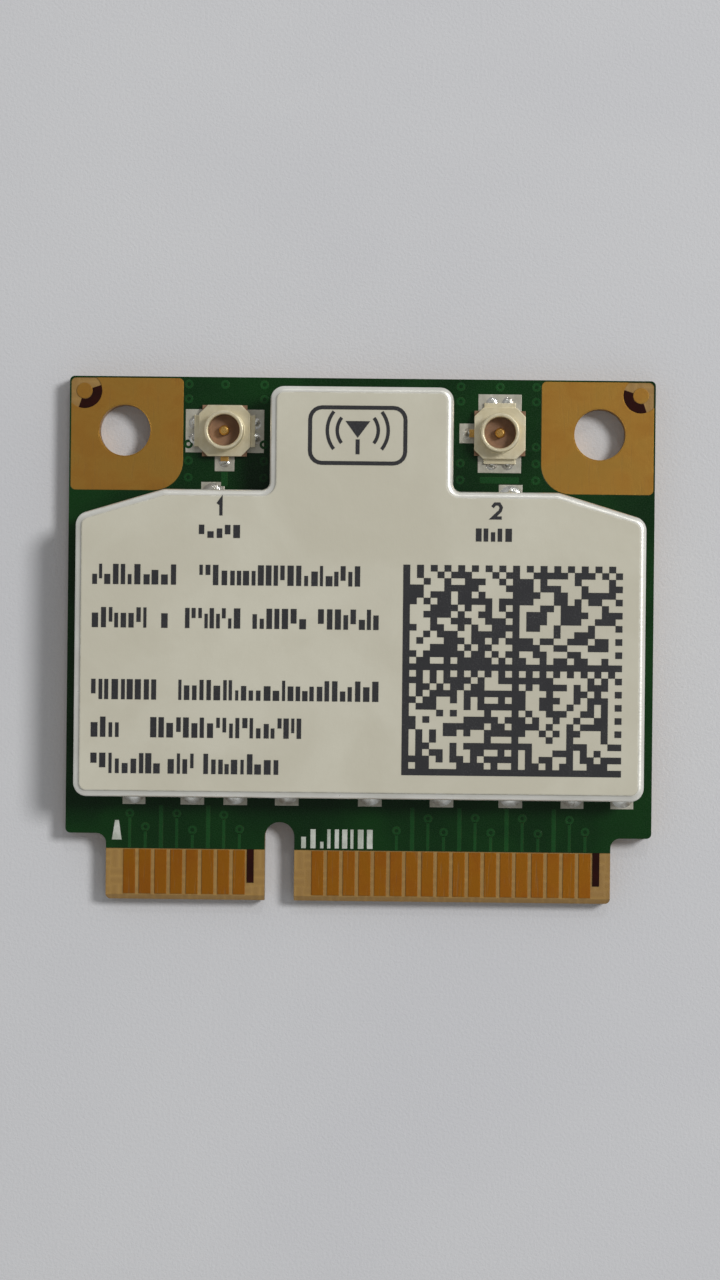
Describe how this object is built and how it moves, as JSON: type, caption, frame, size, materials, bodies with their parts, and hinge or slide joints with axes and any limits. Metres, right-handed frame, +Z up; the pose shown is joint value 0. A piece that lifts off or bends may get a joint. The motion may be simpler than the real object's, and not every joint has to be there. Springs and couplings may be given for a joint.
{
  "type": "laptop wifi card",
  "caption": "Half-length wireless card: notched board with gold edge contacts, screw holes, coaxial antenna connectors and a labelled metal shield.",
  "frame": {"origin": "middle of the board's footprint, on the plane that its underside lies on", "axes": "+X to the right along the contact edge, +Y towards the antenna end, +Z up out of the shielded side"},
  "size_m": [0.0298, 0.0266, 0.0034],
  "materials": {
    "laminate": "bare glass-epoxy laminate",
    "green_mask": "satin green solder mask",
    "gold_plate": "matt gold plating over copper",
    "lid_metal": "satin tinned sheet",
    "fence_metal": "satin tinned sheet",
    "label_film": "matt off-white film",
    "print_ink": "matt black print",
    "solder": "bright solder",
    "connector_metal": "pale gold plating",
    "connector_plastic": "cream moulded base",
    "mould_black": "matt black moulding compound",
    "chip_substrate": "green package substrate",
    "terminal_metal": "tinned terminals",
    "ceramic_tan": "tan ceramic",
    "ceramic_dark": "dark ceramic",
    "ceramic_white": "white ceramic",
    "ceramic_blue": "pale blue ceramic"
  },
  "bodies": {
    "root": {"bore_plating": "gold_plate", "circuit_board": "laminate", "solder_mask_top": "green_mask", "solder_mask_bottom": "green_mask", "edge_contacts_top": "gold_plate", "edge_contacts_bottom": "gold_plate", "mounting_lands_top": "gold_plate", "mounting_lands_bottom": "gold_plate", "alignment_marks": "gold_plate", "shield_land": "gold_plate", "connector_lands": "gold_plate", "component_lands": "gold_plate", "test_lands": "gold_plate", "shield_fence": "fence_metal", "shield_lid": "lid_metal", "shield_solder": "solder", "product_label": "label_film", "label_print": "print_ink", "main_connector_shell": "connector_metal", "main_connector_base": "connector_plastic", "main_connector_pin": "connector_metal", "aux_connector_shell": "connector_metal", "aux_connector_base": "connector_plastic", "aux_connector_pin": "connector_metal", "connector_solder": "solder", "radio_chip": "mould_black", "radio_chip_substrate": "chip_substrate", "radio_chip_balls": "solder", "crystal_base": "ceramic_dark", "crystal_cap": "terminal_metal", "flash_memory": "mould_black", "front_end_module_a": "mould_black", "front_end_module_b": "mould_black", "power_regulator": "mould_black", "leadless_pads": "terminal_metal", "power_inductors": "ceramic_dark", "power_inductor_ends": "terminal_metal", "band_filters": "ceramic_white", "band_filter_ends": "terminal_metal", "capacitors": "ceramic_tan", "capacitor_ends": "terminal_metal", "resistors": "ceramic_dark", "resistor_ends": "terminal_metal", "rf_inductors": "ceramic_blue", "rf_inductor_ends": "terminal_metal"}
  },
  "joints": []
}
